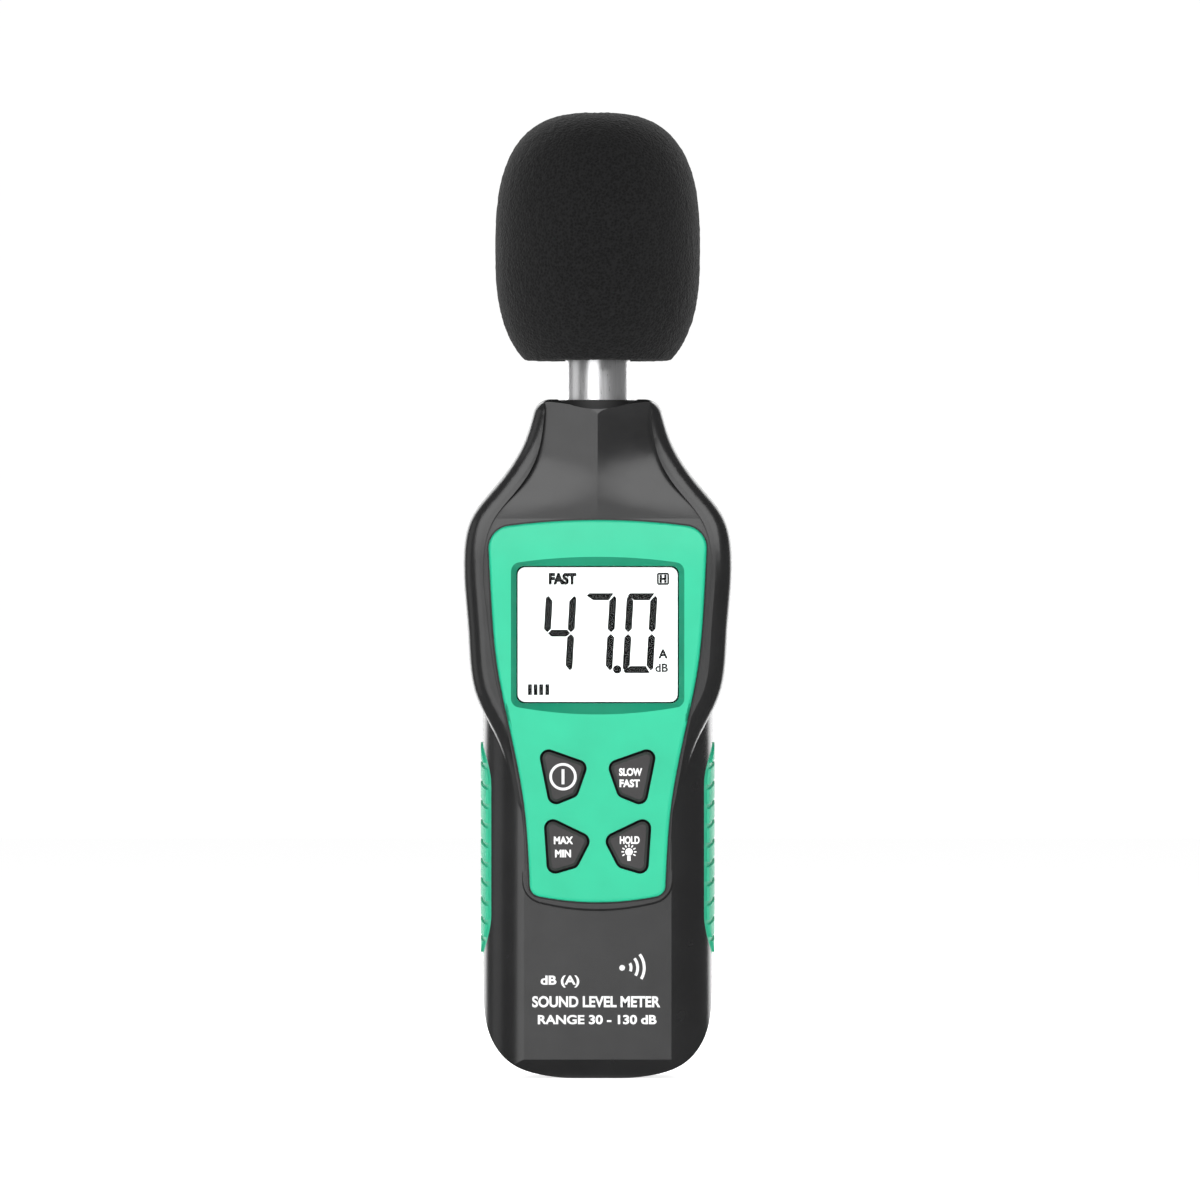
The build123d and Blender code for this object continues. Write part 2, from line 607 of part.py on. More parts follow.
def mic_grid():
    """Perforated cap on the end of the tube."""
    cap = rod_z(TUBE_RADIUS, TUBE_TOP, TUBE_TOP + 1.2)
    holes = [rod_z(0.55, TUBE_TOP - 1, TUBE_TOP + 2)]
    for radius, count in ((2.0, 6), (4.0, 12)):
        directions = [heading(360 * i / count) for i in range(count)]
        holes += [rod_z(0.55, TUBE_TOP - 1, TUBE_TOP + 2, radius * x, radius * y) for x, y in directions]
    return cap - holes


def screen_point(angle, rise, power):
    """Point (r, z) of a superellipse round the windscreen's widest circle; a negative rise goes down."""
    across_share, up_share = cos(radians(angle)) ** (2 / power), sin(radians(angle)) ** (2 / power)
    return (SCREEN_RADIUS * across_share, SCREEN_WIDEST_Z + rise * up_share)


def windscreen():
    """Foam ball with a blind bore that slides on the microphone tube."""
    rise = TOTAL_HEIGHT - SCREEN_WIDEST_Z
    dome = [screen_point(a, rise, SCREEN_TOP_POWER) for a in (0, 20, 40, 55, 70, 80)]
    belly = [screen_point(a, -SCREEN_DROP, SCREEN_BELLY_POWER) for a in (0, 18, 34, 49)]
    foot = (belly[-1][0], SCREEN_BOTTOM)
    profile = make_face(
        Spline(*dome, (0, TOTAL_HEIGHT), tangents=[(0, 1), (-1, 0)])
        + Line((0, TOTAL_HEIGHT), (0, SCREEN_BORE_TOP))
        + Line((0, SCREEN_BORE_TOP), (SCREEN_BORE, SCREEN_BORE_TOP))
        + Line((SCREEN_BORE, SCREEN_BORE_TOP), (SCREEN_BORE, SCREEN_BOTTOM))
        + Line((SCREEN_BORE, SCREEN_BOTTOM), foot)
        + Line(foot, belly[-1])
        + Spline(*reversed(belly), tangents=[(0.93, 1), (0, 1)])
    )
    return revolve(Plane.XZ * profile, Axis.Z)


def lead(start, corner, end, bend, radius):
    """Round wire of two straight runs joined by an arc."""
    path = FilletPolyline(start, corner, end, radius=bend)
    return sweep(Plane(path @ 0, z_dir=path % 0) * Circle(radius), path)


def mic_lead():
    """Screened lead from the capsule down the tube to the board."""
    return lead((0, 0, TUBE_TOP - 9.0), (0, 0, 134), (0, BOARD_BACK + 0.75, 120.5), 40, 0.6)


# ---- Board and its parts ----
def main_board():
    outline = Pos(0, 47.0) * Rectangle(36.8, 63.0) + Pos(0, 95.25) * Rectangle(43.8, 35.5)
    outline += Pos(0, 119.0) * Rectangle(26.0, 13.0)
    holes = [Pos(x, z) * Circle(1.1) for x, z in BOARD_SCREWS]
    return slab(outline - holes, BOARD_FRONT, BOARD_BACK)


def on_board(x, z, width, height, thick):
    """Box standing on the back of the board."""
    return block(x - width / 2, x + width / 2, BOARD_BACK, BOARD_BACK + thick, z - height / 2, z + height / 2)


def processor_chip():
    return on_board(0, 96, 10, 10, 1.4)


def amplifier_chip():
    return on_board(0, 112, 4.0, 8.6, 1.5)


def capacitors():
    radius, height = 2.0, 4.5
    places = [(-12, 84), (-12, 89.5), (9, 107)]
    return group([rod_y(x, z, radius, BOARD_BACK, BOARD_BACK + height) for x, z in places])


def crystal():
    return on_board(-13, 100, 4.4, 10.8, 3.4)


TRIMMER = (15.0, 98.0)


def trimmer_body():
    x, z = TRIMMER
    return on_board(x, z, 6.5, 6.5, 3.5) - rod_y(x, z, 2.0, BOARD_BACK + 2.4, 0)


def trimmer_rotor():
    """Calibration trimmer's rotor, with its screwdriver slot."""
    x, z = TRIMMER
    disc = rod_y(x, z, 1.9, BOARD_BACK + 2.45, BOARD_BACK + 3.8)
    return disc - block(x - 0.25, x + 0.25, BOARD_BACK + 3.1, 0, z - 3, z + 3)


# ---- Batteries ----
def cell(x, nub_up):
    low = BAY_BOTTOM + PLATE_THICK + (SPRING_HEIGHT + 0.15 if nub_up else CELL_NUB + 0.05)
    body = rod_z(CELL_RADIUS, low, low + CELL_BODY, x, CELL_Y)
    body = chamfer(body.edges(), 0.4)
    nub_from = low + CELL_BODY if nub_up else low - CELL_NUB
    return body + rod_z(NUB_RADIUS, nub_from, nub_from + CELL_NUB, x, CELL_Y)


def spring(x, z_from):
    """Coil that presses on a cell's flat end."""
    height = SPRING_HEIGHT - 2 * SPRING_WIRE
    path = Helix(height / 4, height, SPRING_RADIUS)
    coil = sweep(Plane(path @ 0, z_dir=path % 0) * Circle(SPRING_WIRE), path)
    return Pos(x, CELL_Y, z_from + SPRING_WIRE) * coil


def contact_springs():
    low, high = BAY_BOTTOM + PLATE_THICK, BAY_TOP - PLATE_THICK - SPRING_HEIGHT
    gap = 0.05
    return group([spring(-CELL_PITCH, low + gap), spring(0, high - gap), spring(CELL_PITCH, low + gap)])


def plate(x_from, x_to, z_from):
    return block(x_from, x_to, 3.2, 12.2, z_from, z_from + PLATE_THICK)


def contact_bridges():
    """Plates that join neighbouring cells in series."""
    return group([plate(-15.4, 4.4, BAY_BOTTOM), plate(-4.4, 15.4, BAY_TOP - PLATE_THICK)])


def contact_terminals():
    """End plates, each with a tab through the wall to the board side."""
    positive = plate(-15.4, -6.4, BAY_TOP - PLATE_THICK)
    positive += block(-CELL_PITCH - 1.5, -CELL_PITCH + 1.5, -0.4, 3.2, BAY_TOP - PLATE_THICK, BAY_TOP)
    negative = plate(6.4, 15.4, BAY_BOTTOM)
    negative += block(CELL_PITCH - 1.5, CELL_PITCH + 1.5, -0.4, 3.2, BAY_BOTTOM, BAY_BOTTOM + PLATE_THICK)
    return group([positive, negative])


def battery_lead(x, z):
    """Short wire from a terminal's tab up to its pad on the board."""
    return lead((x, -0.4, z), (x, -3.6, z), (x, BOARD_BACK + 0.6, z + 9), 2.8, 0.45)


def battery_door():
    height, middle = DOOR_TOP - DOOR_BOTTOM, (DOOR_TOP + DOOR_BOTTOM) / 2
    door = slab(panel(2 * DOOR_HALF, height, middle, 3.0), DOOR_INNER, 20) & lower_body()
    door -= [rod_y(x, z, 1.1, 10, 20) + rod_y(x, z, 2.3, BACK - 1.1, 20) for x, z in DOOR_SCREWS]
    grooves = [block(-7, 7, BACK - 0.4, 20, z, z + 0.8) for z in (56.0, 58.0, 60.0)]
    return door - grooves


def door_pad():
    return slab(panel(30, 38, 39, 1.0), DOOR_INNER - 1.0, DOOR_INNER)


# ---- Fasteners and mount ----
def cross_slot(x, z, y_from, size):
    """Cross recess in a screw head."""
    arm, thick = size, size * 0.3
    return block(x - arm, x + arm, y_from, 30, z - thick, z + thick) + block(
        x - thick, x + thick, y_from, 30, z - arm, z + arm
    )


def screw(x, z, seat, head_radius, head_height, shank_radius, tip):
    """Pan-head screw whose head seats at y = seat and whose tip points to -Y."""
    body = rod_y(x, z, head_radius, seat, seat + head_height) + rod_y(x, z, shank_radius, tip, seat)
    return body - cross_slot(x, z, seat + head_height * 0.45, head_radius * 0.55)


def case_screws():
    return group([screw(x, z, 8.0, 2.7, 1.9, 1.4, -8.5) for x, z in CASE_SCREWS])


def board_screws():
    return group([screw(x, z, BOARD_BACK, 1.8, 1.2, 0.9, -9.8) for x, z in BOARD_SCREWS])


def door_screws():
    return group([screw(x, z, BACK - 1.1, 2.15, 0.95, 1.0, 8.0) for x, z in DOOR_SCREWS])


def tripod_insert():
    bottom = BACK - TRIPOD_DEPTH - 1.0
    body = rod_y(0, TRIPOD_Z, INSERT_RADIUS, bottom, BACK)
    return body - rod_y(0, TRIPOD_Z, TRIPOD_BORE, bottom + 1.0, 20)


def rating_label():
    return slab(panel(33.6, 15.6, 102, 1.3), BACK - 0.3, BACK - 0.1)


# ---- Assembly ----
def build():
    """Every node by name."""
    right_grip = side_grip()
    left_grip = mirror(right_grip, Plane.YZ)
    grips = [right_grip, left_grip]
    terminals = contact_terminals()
    nodes = {
        "front_shell": front_shell(grips),
        "rear_shell": rear_shell(grips, terminals.solids()),
        "front_bezel": front_bezel(),
        "left_grip": left_grip,
        "right_grip": right_grip,
        "lcd_window": lcd_window(),
        "lcd_gasket": lcd_gasket(),
        "lcd_glass": lcd_glass(),
        "lcd_frame": lcd_frame(),
        "zebra_strips": zebra_strips(),
        "backlight_panel": backlight_panel(),
        "backlight_led": backlight_led(),
        "keypad_sheet": keypad_sheet(),
        "key_contacts": key_contacts(),
        "mic_tube": mic_tube(),
        "mic_bush": mic_bush(),
        "mic_capsule": mic_capsule(),
        "mic_grid": mic_grid(),
        "mic_lead": mic_lead(),
        "windscreen": windscreen(),
        "main_board": main_board(),
        "processor_chip": processor_chip(),
        "amplifier_chip": amplifier_chip(),
        "capacitors": capacitors(),
        "crystal": crystal(),
        "trimmer_body": trimmer_body(),
        "trimmer_rotor": trimmer_rotor(),
        "cell_left": cell(-CELL_PITCH, True),
        "cell_middle": cell(0, False),
        "cell_right": cell(CELL_PITCH, True),
        "contact_springs": contact_springs(),
        "contact_bridges": contact_bridges(),
        "contact_terminals": terminals,
        "battery_lead_red": battery_lead(-CELL_PITCH, BAY_TOP - PLATE_THICK / 2),
        "battery_lead_black": battery_lead(CELL_PITCH, BAY_BOTTOM + PLATE_THICK / 2),
        "battery_door": battery_door(),
        "door_pad": door_pad(),
        "door_screws": door_screws(),
        "case_screws": case_screws(),
        "board_screws": board_screws(),
        "tripod_insert": tripod_insert(),
        "rating_label": rating_label(),
    }
    keys = {
        "power": (UPPER_KEY, -1),
        "response": (UPPER_KEY, 1),
        "max_min": (LOWER_KEY, -1),
        "hold": (LOWER_KEY, 1),
    }
    for name, (corners, side) in keys.items():
        nodes["key_" + name] = key_cap(corners, side)
        nodes["pill_" + name] = key_pill(corners, side)
    return nodes


os.makedirs("parts", exist_ok=True)
for node_name, node_shape in build().items():
    export_step(node_shape, f"parts/{node_name}.step")
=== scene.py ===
"""Looks for the handheld sound level meter: studio, materials, printed legends, display and foam windscreen.

Everything is in metres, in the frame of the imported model: +Z up, the display faces -Y.
Sizes below are written in millimetres and turned into metres where meshes are made.
"""

import json
from math import cos, pi, radians, sin, sqrt, tan

import bmesh
import bpy
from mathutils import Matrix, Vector


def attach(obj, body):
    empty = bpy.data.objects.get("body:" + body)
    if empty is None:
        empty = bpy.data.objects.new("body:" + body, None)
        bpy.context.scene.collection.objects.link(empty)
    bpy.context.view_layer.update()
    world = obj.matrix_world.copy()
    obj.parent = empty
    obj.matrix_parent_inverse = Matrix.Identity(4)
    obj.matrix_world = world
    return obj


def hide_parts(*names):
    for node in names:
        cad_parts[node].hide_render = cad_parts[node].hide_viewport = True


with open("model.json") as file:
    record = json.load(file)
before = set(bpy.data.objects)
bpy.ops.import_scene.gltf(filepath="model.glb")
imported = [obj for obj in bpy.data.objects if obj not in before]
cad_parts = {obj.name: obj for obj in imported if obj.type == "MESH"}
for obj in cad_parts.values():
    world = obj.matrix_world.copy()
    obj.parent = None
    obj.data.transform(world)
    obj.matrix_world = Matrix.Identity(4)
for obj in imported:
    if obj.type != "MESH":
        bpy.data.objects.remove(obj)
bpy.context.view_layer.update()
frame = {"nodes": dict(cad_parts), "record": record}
MM = 0.001
ACCENT = (0.015, 0.43, 0.24)  # colour of the bezel and, darker, of the grips; a still darker copy of it is painted shade on the window recess

# ---- Driving dimensions, mm ----
TOTAL_HEIGHT = 206.0
VIEW_HEIGHT = 256.0  # height of what the camera sees at the meter's distance
VIEW_MIDDLE = 101.7  # height of the camera and of the point that the lights face
FLOOR_HALF = 3000.0
CAMERA_DISTANCE = 3000.0
LIGHT_DISTANCE = 1300.0

# y of the printed faces, with the ink standing PRINT proud of them
LOWER_FACE = -14.0
KEY_FACE = -15.8
GLASS_FACE = -10.6
LABEL_BACK = 15.9
PRINT = 0.03

LABEL_Z = 102.0
LABEL_LINE_PITCH = 4.0

# The recess round the window that gets painted shade, and how nearly the flat faces of the bezel look along
# y: steeper faces there get the painted shade
RECESS_HALF_WIDTH = 19.5
RECESS_BOTTOM, RECESS_TOP = 76, 112
FLAT_NORMAL = 0.985

# Foam windscreen: its outline is a pair of superellipses that meet where it is widest
SCREEN_RADIUS, SCREEN_WIDEST_Z, SCREEN_BOTTOM = 21.9, 176.0, 152.7
SCREEN_TOP_POWER, SCREEN_BELLY_POWER, SCREEN_DROP = 2.8, 2.6, 28.5
SCREEN_BELLY_END = 49  # angle in degrees at which the belly turns in to the bottom edge
SCREEN_BORE, SCREEN_BORE_TOP = 7.0, 183.2
PORE_SIZE = 0.55
PORE_ALLOWANCE = 0.3  # room left for the roughness below the top of the foam

CAPITAL_SHARE = 0.73  # height of a capital letter as a share of the font's size


# ---- Node helpers ----
def new_material(name):
    material = bpy.data.materials.new(name)
    material.use_nodes = True
    tree = material.node_tree
    shader = tree.nodes["Principled BSDF"]
    return material, tree, shader


def add_node(tree, kind, **inputs):
    node = tree.nodes.new(kind)
    for key, value in inputs.items():
        node.inputs[key.replace("_", " ")].default_value = value
    return node


def coordinates(tree):
    """Object coordinates in metres, which stay with the piece when it moves."""
    return tree.nodes.new("ShaderNodeTexCoord").outputs["Object"]


def noise(tree, size, detail=3.0, rough=0.55):
    """Noise whose features are about size millimetres across."""
    node = add_node(tree, "ShaderNodeTexNoise", Scale=1000.0 / size, Detail=detail, Roughness=rough)
    tree.links.new(coordinates(tree), node.inputs["Vector"])
    return node.outputs["Fac"]


def ramp(tree, factor, low, high, start=0.35, end=0.65):
    """Colour from low to high as factor goes from start to end."""
    node = tree.nodes.new("ShaderNodeValToRGB")
    node.color_ramp.elements[0].position = start
    node.color_ramp.elements[0].color = (*low, 1)
    node.color_ramp.elements[1].position = end
    node.color_ramp.elements[1].color = (*high, 1)
    tree.links.new(factor, node.inputs["Fac"])
    return node.outputs["Color"]


def map_range(tree, factor, low, high):
    node = tree.nodes.new("ShaderNodeMapRange")
    node.inputs["To Min"].default_value = low
    node.inputs["To Max"].default_value = high
    tree.links.new(factor, node.inputs["Value"])
    return node.outputs["Result"]


def bump(tree, shader, height, depth, before=None):
    """Relief of depth millimetres, laid over an earlier bump if there is one."""
    node = add_node(tree, "ShaderNodeBump", Strength=1.0, Distance=depth * MM)
    tree.links.new(height, node.inputs["Height"])
    if before:
        tree.links.new(before.outputs["Normal"], node.inputs["Normal"])
    tree.links.new(node.outputs["Normal"], shader.inputs["Normal"])
    return node


def shade(colour, factor):
    return tuple(min(1.0, c * factor) for c in colour)


def moulded(name, colour, roughness, grain=0.18, depth=0.012, spread=0.12, specular=0.5):
    """Moulded plastic or rubber: a fine spark-eroded grain, slow colour drift and uneven gloss."""
    drift_size, gloss_size, gloss_spread = 14.0, 5.0, 0.05
    material, tree, shader = new_material(name)
    drift = ramp(tree, noise(tree, drift_size), shade(colour, 1 - spread), shade(colour, 1 + spread))
    tree.links.new(drift, shader.inputs["Base Color"])
    gloss = map_range(tree, noise(tree, gloss_size), roughness - gloss_spread, roughness + gloss_spread)
    tree.links.new(gloss, shader.inputs["Roughness"])
    shader.inputs["Specular IOR Level"].default_value = specular
    bump(tree, shader, noise(tree, grain, 2.0), depth)
    return material


def metal(name, colour, roughness, brush=(1.0, 1.0, 1.0), depth=0.004):
    """Metal with a directional grain: brush stretches the grain along an axis where it is small."""
    grain_size, darkest, gloss_spread = 0.25, 0.88, 0.08
    material, tree, shader = new_material(name)
    mapping = tree.nodes.new("ShaderNodeMapping")
    mapping.inputs["Scale"].default_value = brush
    tree.links.new(coordinates(tree), mapping.inputs["Vector"])
    grain = add_node(tree, "ShaderNodeTexNoise", Scale=1000.0 / grain_size, Detail=3.0, Roughness=0.6)
    tree.links.new(mapping.outputs["Vector"], grain.inputs["Vector"])
    tint = ramp(tree, grain.outputs["Fac"], shade(colour, darkest), colour)
    tree.links.new(tint, shader.inputs["Base Color"])
    gloss = map_range(tree, grain.outputs["Fac"], roughness - gloss_spread, roughness + gloss_spread)
    tree.links.new(gloss, shader.inputs["Roughness"])
    shader.inputs["Metallic"].default_value = 1.0
    bump(tree, shader, grain.outputs["Fac"], depth)
    return material


def foam_material():
    """Open cell foam: a dull charcoal body with painted shade in its small pores, which are coloured darker
    than the body.
    """
    material, tree, shader = new_material("foam")
    cells = add_node(tree, "ShaderNodeTexVoronoi", Scale=1000.0 / PORE_SIZE, Randomness=1.0)
    tree.links.new(coordinates(tree), cells.inputs["Vector"])
    # painted shade: the pores get a darker colour than the body for the shade inside them
    pore, body = (0.0015, 0.0015, 0.0015), (0.008, 0.008, 0.0083)
    colour = ramp(tree, cells.outputs["Distance"], pore, body, 0.1, 0.7)
    tree.links.new(colour, shader.inputs["Base Color"])
    shader.inputs["Roughness"].default_value = 0.95
    shader.inputs["Specular IOR Level"].default_value = 0.12
    shader.inputs["Sheen Weight"].default_value = 0.05
    shader.inputs["Sheen Roughness"].default_value = 0.6
    fine = bump(tree, shader, cells.outputs["Distance"], 0.16)
    bump(tree, shader, noise(tree, 2.2, 4.0), 0.12, fine)
    return material


def window_material():
    """Clear moulded window with a faint orange-peel surface."""
    material, tree, shader = new_material("clear_window")
    shader.inputs["Base Color"].default_value = (0.96, 0.98, 0.98, 1)
    shader.inputs["Roughness"].default_value = 0.03
    shader.inputs["IOR"].default_value = 1.15
    shader.inputs["Transmission Weight"].default_value = 1.0
    bump(tree, shader, noise(tree, 6.0, 1.0), 0.001)
    return material


def display_material_painted_glow():
    """Bright reflective backing of the display, with the faint mottle of its polariser, and a painted glow:
    it emits light of its own though it is no lamp.
    """
    material, tree, shader = new_material("display_glass")
    tint = ramp(tree, noise(tree, 3.0), (0.93, 0.95, 0.93), (0.98, 0.98, 0.975))
    tree.links.new(tint, shader.inputs["Base Color"])
    tree.links.new(tint, shader.inputs["Emission Color"])
    # painted glow: emission makes the display backing shine though it is no lamp
    shader.inputs["Emission Strength"].default_value = 0.55
    shader.inputs["Roughness"].default_value = 0.35
    bump(tree, shader, noise(tree, 0.12, 2.0), 0.002)
    return material


# ---- Mesh helpers ----
def add_object(name, mesh, material, body):
    obj = bpy.data.objects.new(name, mesh)
    bpy.context.scene.collection.objects.link(obj)
    obj.data.materials.append(material)
    if body:
        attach(obj, body)
    return obj


def mesh_from(name, points, faces, smooth=True):
    """Mesh from points in millimetres."""
    mesh = bpy.data.meshes.new(name)
    mesh.from_pydata([tuple(c * MM for c in p) for p in points], [], faces)
    mesh.polygons.foreach_set("use_smooth", [smooth] * len(mesh.polygons))
    mesh.update()
    return mesh


def plates(name, outlines, front, thick, material, body):
    """Thin flat plates with the given (x, z) outlines, whose front faces lie at y = front."""
    points, faces = [], []
    for outline in outlines:
        start, count = len(points), len(outline)
        points += [(x, front, z) for x, z in outline] + [(x, front + thick, z) for x, z in outline]
        faces.append([start + i for i in range(count)])
        faces.append([start + count + i for i in reversed(range(count))])
        for i in range(count):
            j = (i + 1) % count
            faces.append([start + i, start + count + i, start + count + j, start + j])
    mesh = mesh_from(name, points, faces, smooth=False)
    shell = bmesh.new()
    shell.from_mesh(mesh)
    bmesh.ops.recalc_face_normals(shell, faces=shell.faces)
    shell.to_mesh(mesh)
    shell.free()
    return add_object(name, mesh, material, body)


def lettering(name, words, x, z, height, front, material, body, width=None, bold=0.0, facing=-1):
    """Printed words centred on (x, z), with capitals of the given height, squeezed to width if one is given.

    They are read from the front, or with facing = 1 from the back.
    """
    curve = bpy.data.curves.new(name, "FONT")
    curve.body = words
    curve.align_x = "CENTER"
    curve.align_y = "CENTER"
    curve.size = height * MM / CAPITAL_SHARE
    curve.offset = bold * MM
    curve.extrude = PRINT / 2 * MM
    obj = bpy.data.objects.new(name, curve)
    mesh = bpy.data.meshes.new_from_object(obj)
    bpy.data.objects.remove(obj)
    xs = [v.co.x for v in mesh.vertices]
    ys = [v.co.y for v in mesh.vertices]
    middle_x, middle_y = (min(xs) + max(xs)) / 2, (min(ys) + max(ys)) / 2
    stretch = width * MM / (max(xs) - min(xs)) if width else 1.0
    for v in mesh.vertices:
        across, up, out = v.co.x - middle_x, v.co.y - middle_y, v.co.z
        v.co = Vector((x * MM - facing * across * stretch, front * MM + facing * out, z * MM + up))
    mesh.update()
    return add_object(name, mesh, material, body)


def ring(x, z, outer, inner, steps=48):
    """Outlines of a flat ring, as short sectors."""
    sectors = []
    for i in range(steps):
        a, b = 2 * pi * i / steps, 2 * pi * (i + 1) / steps
        corners = ((inner, a), (outer, a), (outer, b), (inner, b))
        sectors.append([(x + r * cos(t), z + r * sin(t)) for r, t in corners])
    return sectors


def disc(x, z, radius, steps=32):
    angles = [2 * pi * i / steps for i in range(steps)]
    return [(x + radius * cos(angle), z + radius * sin(angle)) for angle in angles]


def square_frame(x, z, half, line):
    """Outlines of the two uprights and the two level lines of a square box."""
    uprights = [strip((x + s * half, z - half), (x + s * half, z + half), line) for s in (-1, 1)]
    levels = [strip((x - half, z + s * half), (x + half, z + s * half), line) for s in (-1, 1)]
    return uprights + levels


def spoke(x, z, inner, outer, angle, width):
    """Outline of a stroke that points away from (x, z) at an angle in degrees."""
    across, up = cos(radians(angle)), sin(radians(angle))
    return strip((x + inner * across, z + inner * up), (x + outer * across, z + outer * up), width)


def strip(start, end, width):
    """Outline of a straight stroke."""
    (x0, z0), (x1, z1) = start, end
    length = sqrt((x1 - x0) ** 2 + (z1 - z0) ** 2)
    nx, nz = -(z1 - z0) / length * width / 2, (x1 - x0) / length * width / 2
    return [(x0 + nx, z0 + nz), (x1 + nx, z1 + nz), (x1 - nx, z1 - nz), (x0 - nx, z0 - nz)]


# ---- Display ----
SEGMENTS = {"4": "fgbc", "7": "abc", "0": "abcdef"}


def segment_outlines(digit, left, right, bottom, top, stroke, slant):
    """Mitred bars of a seven-segment digit, leaning to the right by slant millimetres over its height."""
    half, middle = stroke / 2, (top + bottom) / 2
    gap = 0.14  # between neighbouring bars
    blunt = 0.35 * stroke  # cut off the outer corners
    level_bar = [(left + blunt + gap, top), (right - blunt - gap, top), (right - stroke - gap, top - stroke)]
    level_bar += [(left + stroke + gap, top - stroke), (left + gap, top - blunt)]
    upright = [
        (right - blunt, top - blunt),
        (right, top - 2 * blunt),
        (right, middle + half + gap),
        (right - half, middle + gap),
        (right - stroke, middle + half + gap),
        (right - stroke, top - stroke - gap),
    ]
    in_left, in_right = left + stroke + gap, right - stroke - gap
    cross_bar = [(in_left - half, middle), (in_left, middle + half), (in_right, middle + half)]
    cross_bar += [(in_right + half, middle), (in_right, middle - half), (in_left, middle - half)]

    def turned_over(outline):
        return [(x, 2 * middle - z) for x, z in outline]

    def turned_round(outline):
        return [(left + right - x, z) for x, z in outline]

    bars = {
        "a": level_bar,
        "b": upright,
        "c": turned_over(upright),
        "d": turned_over(level_bar),
        "e": turned_over(turned_round(upright)),
        "f": turned_round(upright),
        "g": cross_bar,
    }
    lean = slant / (top - bottom)
    return [[(x + (z - middle) * lean, z) for x, z in bars[name]] for name in SEGMENTS[digit]]


def display_content(ink):
    """The reading 47.0 with its decimal point, the row of bars, the boxed letter and the small words."""
    top, bottom, stroke, slant, width = 103.15, 86.17, 1.5, 1.0, 6.55
    outlines = []
    for digit, centre in (("4", -8.2), ("7", 0.3), ("0", 9.0)):
        left, right = centre - width / 2, centre + width / 2
        outlines += segment_outlines(digit, left, right, bottom, top, stroke, slant)
    point_x, point_z, point_radius = 4.15, 86.95, 0.9
    outlines.append(disc(point_x, point_z, point_radius))
    bar_bottom, bar_top, bar_width = 81.5, 83.8, 0.85
    outlines += [strip((x, bar_bottom), (x, bar_top), bar_width) for x in (-14.4, -13.2, -12.0, -10.7)]
    column_x, row_z = 13.9, 106.2  # the column right of the digits, and the row above them
    outlines += square_frame(column_x, row_z, half=1.1, line=0.4)
    front = GLASS_FACE - PRINT
    plates("display_segments", outlines, front, PRINT, ink, "case")
    lettering("display_hold_letter", "H", column_x, row_z, 1.5, front, ink, "case", bold=0.16)
    lettering("display_response_word", "FAST", -7.45, row_z, 2.2, front, ink, "case", width=5.9, bold=0.22)
    lettering("display_weighting", "A", column_x, 90.25, 1.9, front, ink, "case", bold=0.11)
    lettering("display_unit", "dB", 13.6, 87.3, 1.8, front, ink, "case", width=2.7, bold=0.07)


# ---- Printed legends ----
def power_sign(x, z):
    """Ring with an upright stroke inside it."""
    outer, inner, reach, stroke = 2.9, 2.35, 1.6, 0.6
    return ring(x, z, outer, inner) + [strip((x, z - reach), (x, z + reach), stroke)]


def lamp_sign(x, z):
    """Shining lamp: a bulb, its neck and rays on every side but the neck's."""
    bulb = disc(x, z, 0.8)
    neck = strip((x, z - 0.6), (x, z - 1.9), 0.7)
    rays = [spoke(x, z, 1.05, 1.6, angle, 0.26) for angle in range(-30, 211, 30)]
    return [bulb, neck] + rays


def key_legends(ink):
    """White signs and words on the keys; each one moves with its key."""
    front, letter_height = KEY_FACE - PRINT, 1.55
    plates("legend_power", power_sign(-7.35, 64.2), front, PRINT, ink, "key_power")
    for name, words, x, z, width, key in (
        ("legend_slow", "SLOW", 7.0, 65.2, 4.9, "key_response"),
        ("legend_fast", "FAST", 6.8, 62.8, 4.3, "key_response"),
        ("legend_max", "MAX", -7.25, 50.7, 4.1, "key_max_min"),
        ("legend_min", "MIN", -7.35, 47.9, 3.4, "key_max_min"),
        ("legend_hold", "HOLD", 6.8, 50.75, 4.2, "key_hold"),
    ):
        lettering(name, words, x, z, letter_height, front, ink, key, width=width, bold=0.09)
    plates("legend_lamp", lamp_sign(6.65, 48.25), front, PRINT, ink, "key_hold")


def sound_mark(x, z):
    """Pictogram of a source of sound: a dot and three arcs on its right."""
    dot_radius, half_line, least_share = 0.6, 0.3, 0.75
    shapes = [disc(x, z, dot_radius)]
    for radius in (1.9, 3.3, 4.7):
        sectors = ring(x, z, radius + half_line, radius - half_line)
        shapes += [sector for sector in sectors if sector[0][0] - x > least_share * radius]
    return shapes


def case_legends(ink):
    """Generic wording and pictogram on the lower face."""
    front = LOWER_FACE - PRINT
    lettering("legend_title", "SOUND LEVEL METER", -0.3, 16.4, 2.3, front, ink, "case", width=27.2, bold=0.1)
    lettering("legend_range", "RANGE 30 - 130 dB", -0.1, 12.6, 1.9, front, ink, "case", width=25.2, bold=0.08)
    lettering("legend_weighting", "dB (A)", -8.0, 20.7, 1.9, front, ink, "case", width=8.2, bold=0.08)
    plates("legend_sound", sound_mark(5.2, 23.6), front, PRINT, ink, "case")


def label_words(ink):
    """Generic wording of the rating label on the back."""
    back = LABEL_BACK + PRINT
    for line, words in enumerate(("SOUND LEVEL METER", "RANGE 30 - 130 dB (A)", "POWER 3 x 1.5 V AAA")):
        z = LABEL_Z + LABEL_LINE_PITCH * (1 - line)
        lettering(f"label_line_{line + 1}", words, 0, z, 1.5, back, ink, "case", bold=0.03, facing=1)


